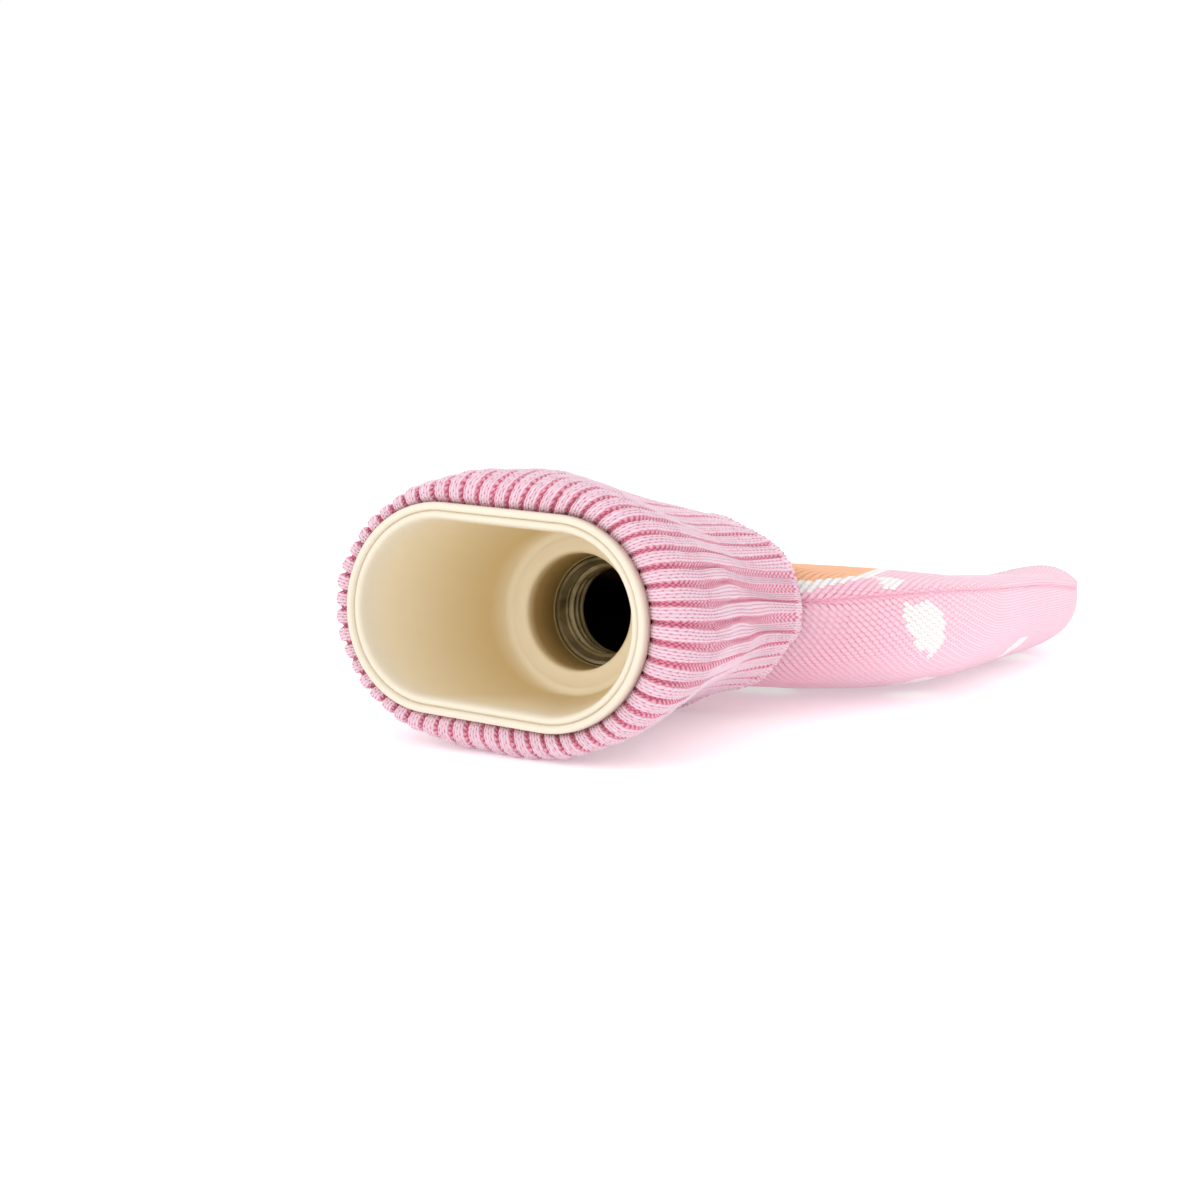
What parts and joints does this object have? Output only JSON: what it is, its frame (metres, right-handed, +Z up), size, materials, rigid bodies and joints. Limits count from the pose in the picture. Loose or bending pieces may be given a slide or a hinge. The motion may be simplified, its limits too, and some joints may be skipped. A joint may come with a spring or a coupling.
{
  "type": "knitted hot water bottle cover on a rubber bottle",
  "caption": "Soft knitted cover with a turned-down ribbed collar, fitted on a small flat rubber bottle whose filling funnel and threaded neck stand open",
  "frame": {"origin": "middle of the bounding box in X and Y, on the surface that the bottle lies on", "axes": "the bottle lies on its back: +Z is up, its length runs along Y with the filling funnel facing -Y, and its width runs along X"},
  "size_m": [0.166, 0.2512, 0.067],
  "materials": {
    "knit": "stocking stitch knit, pale pink",
    "rib": "ribbed knit, pale pink",
    "rubber": "matt cream moulded rubber",
    "insert": "dull grey threaded metal"
  },
  "bodies": {
    "root": {"front_panel": "knit", "back_panel": "knit", "ribbed_collar": "rib", "rubber_bottle": "rubber", "neck_insert": "insert"}
  },
  "joints": []
}
